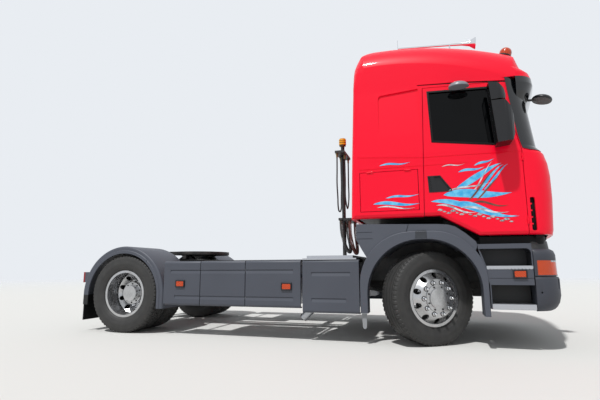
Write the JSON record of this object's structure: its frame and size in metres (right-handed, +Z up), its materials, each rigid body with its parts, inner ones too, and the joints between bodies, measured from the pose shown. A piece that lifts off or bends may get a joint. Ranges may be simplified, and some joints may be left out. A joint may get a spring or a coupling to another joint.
{
  "type": "semi truck tractor unit",
  "caption": "Two-axle road tractor with a tilting high-roof sleeper cab, opening doors and lockers, steered front wheels and a rocking trailer coupling.",
  "frame": {"origin": "on the ground under the middle of the vehicle's box", "axes": "+X forward, +Y to the left side, +Z up"},
  "size_m": [5.838, 3.01, 3.676],
  "materials": {
    "red_paint": "gloss",
    "grey_plastic": "satin",
    "black_paint": "satin",
    "cast_steel": "painted",
    "bare_aluminium": "satin",
    "polished_aluminium": "polished",
    "tyre_rubber": "matt",
    "hose_rubber": "satin",
    "window_glass": "clear",
    "smoked_plastic": "gloss",
    "mirror_plastic": "satin",
    "amber_lens": "clear lens",
    "red_lens": "clear lens",
    "clear_lens": "clear lens",
    "chrome_plate": "polished",
    "cabin_plastic": "grained",
    "seat_cloth": "woven",
    "spring_steel": "satin"
  },
  "bodies": {
    "chassis": {"frame_rails": "black_paint", "cross_members": "black_paint", "front_axle": "cast_steel", "drive_axle": "cast_steel", "suspension": "spring_steel", "engine": "cast_steel", "tanks_and_boxes": "bare_aluminium", "side_skirts": "grey_plastic", "catwalk": "bare_aluminium", "rear_mudguards": "grey_plastic", "front_fenders": "grey_plastic", "step_housings": "grey_plastic", "step_treads": "bare_aluminium", "bumper": "grey_plastic", "headlamps": "clear_lens", "amber_lamps": "amber_lens", "tail_lamps": "red_lens", "coupling_base": "black_paint", "hose_post": "black_paint", "front_apron": "black_paint", "hose_a": "hose_rubber", "hose_b": "hose_rubber", "coiled_hose": "hose_rubber", "coiled_hose_b": "hose_rubber"},
    "coupling": {"fifth_wheel": "cast_steel"},
    "cab": {"cab_front": "red_paint", "windscreen": "window_glass", "grille": "black_paint", "cab_back": "red_paint", "cab_sides": "red_paint", "cab_roof": "red_paint", "cab_floor": "black_paint", "bunk_box": "cabin_plastic", "sun_visor": "smoked_plastic", "pillar_covers": "smoked_plastic", "dashboard": "cabin_plastic", "steering_wheel": "cabin_plastic", "seats": "seat_cloth", "bunk": "seat_cloth", "roof_horn": "chrome_plate", "beacons": "amber_lens", "front_mirror": "mirror_plastic"},
    "door_right": {"door_right": "red_paint", "door_glass_right": "window_glass", "door_mirrors_right": "mirror_plastic"},
    "locker_right": {"locker_lid_right": "red_paint"},
    "knuckle_right": {"knuckle_right": "cast_steel"},
    "front_wheel_right": {"front_tyre_right": "tyre_rubber", "front_rim_right": "polished_aluminium"},
    "rear_wheels_right": {"rear_tyres_right": "tyre_rubber", "rear_rims_right": "polished_aluminium"},
    "door_left": {"door_left": "red_paint", "door_glass_left": "window_glass", "door_mirrors_left": "mirror_plastic"},
    "locker_left": {"locker_lid_left": "red_paint"},
    "knuckle_left": {"knuckle_left": "cast_steel"},
    "front_wheel_left": {"front_tyre_left": "tyre_rubber", "front_rim_left": "polished_aluminium"},
    "rear_wheels_left": {"rear_tyres_left": "tyre_rubber", "rear_rims_left": "polished_aluminium"}
  },
  "joints": [
    {"name": "cab_tilt", "type": "hinge", "parent": "chassis", "child": "cab", "pos_m": [2.653, 0, 0.75], "axis": [0, 1, 0], "range_deg": [0, 60]},
    {"name": "coupling_rock", "type": "hinge", "parent": "chassis", "child": "coupling", "pos_m": [-1.867, 0, 0.972], "axis": [0, 1, 0], "range_deg": [-8, 8]},
    {"name": "door_right_hinge", "type": "hinge", "parent": "cab", "child": "door_right", "pos_m": [2.536, -1.248, 2], "axis": [0, 0, 1], "range_deg": [0, 80]},
    {"name": "locker_right_hinge", "type": "hinge", "parent": "cab", "child": "locker_right", "pos_m": [1.189, -1.248, 1.862], "axis": [-1, 0, 0], "range_deg": [0, 85]},
    {"name": "steer_right", "type": "hinge", "parent": "chassis", "child": "knuckle_right", "pos_m": [1.453, -0.88, 0.49], "axis": [0, 0, 1], "range_deg": [-73.3, 2.7]},
    {"name": "front_wheel_right_spin", "type": "hinge", "parent": "knuckle_right", "child": "front_wheel_right", "pos_m": [1.5391, -1.0016, 0.49], "axis": [-0.5779, 0.8161, 0], "continuous": true},
    {"name": "rear_wheels_right_spin", "type": "hinge", "parent": "chassis", "child": "rear_wheels_right", "pos_m": [-2.247, -0.913, 0.49], "axis": [0, 1, 0], "continuous": true},
    {"name": "door_left_hinge", "type": "hinge", "parent": "cab", "child": "door_left", "pos_m": [2.536, 1.248, 2], "axis": [0, 0, -1], "range_deg": [0, 80]},
    {"name": "locker_left_hinge", "type": "hinge", "parent": "cab", "child": "locker_left", "pos_m": [1.189, 1.248, 1.862], "axis": [1, 0, 0], "range_deg": [0, 85]},
    {"name": "steer_left", "type": "hinge", "parent": "chassis", "child": "knuckle_left", "pos_m": [1.453, 0.88, 0.49], "axis": [0, 0, 1], "range_deg": [-73.3, 2.7]},
    {"name": "front_wheel_left_spin", "type": "hinge", "parent": "knuckle_left", "child": "front_wheel_left", "pos_m": [1.3669, 1.0016, 0.49], "axis": [-0.5779, 0.8161, 0], "continuous": true},
    {"name": "rear_wheels_left_spin", "type": "hinge", "parent": "chassis", "child": "rear_wheels_left", "pos_m": [-2.247, 0.913, 0.49], "axis": [0, 1, 0], "continuous": true}
  ],
  "couplings": [
    {"joint": "steer_left", "follows": "steer_right", "ratio": 1}
  ]
}
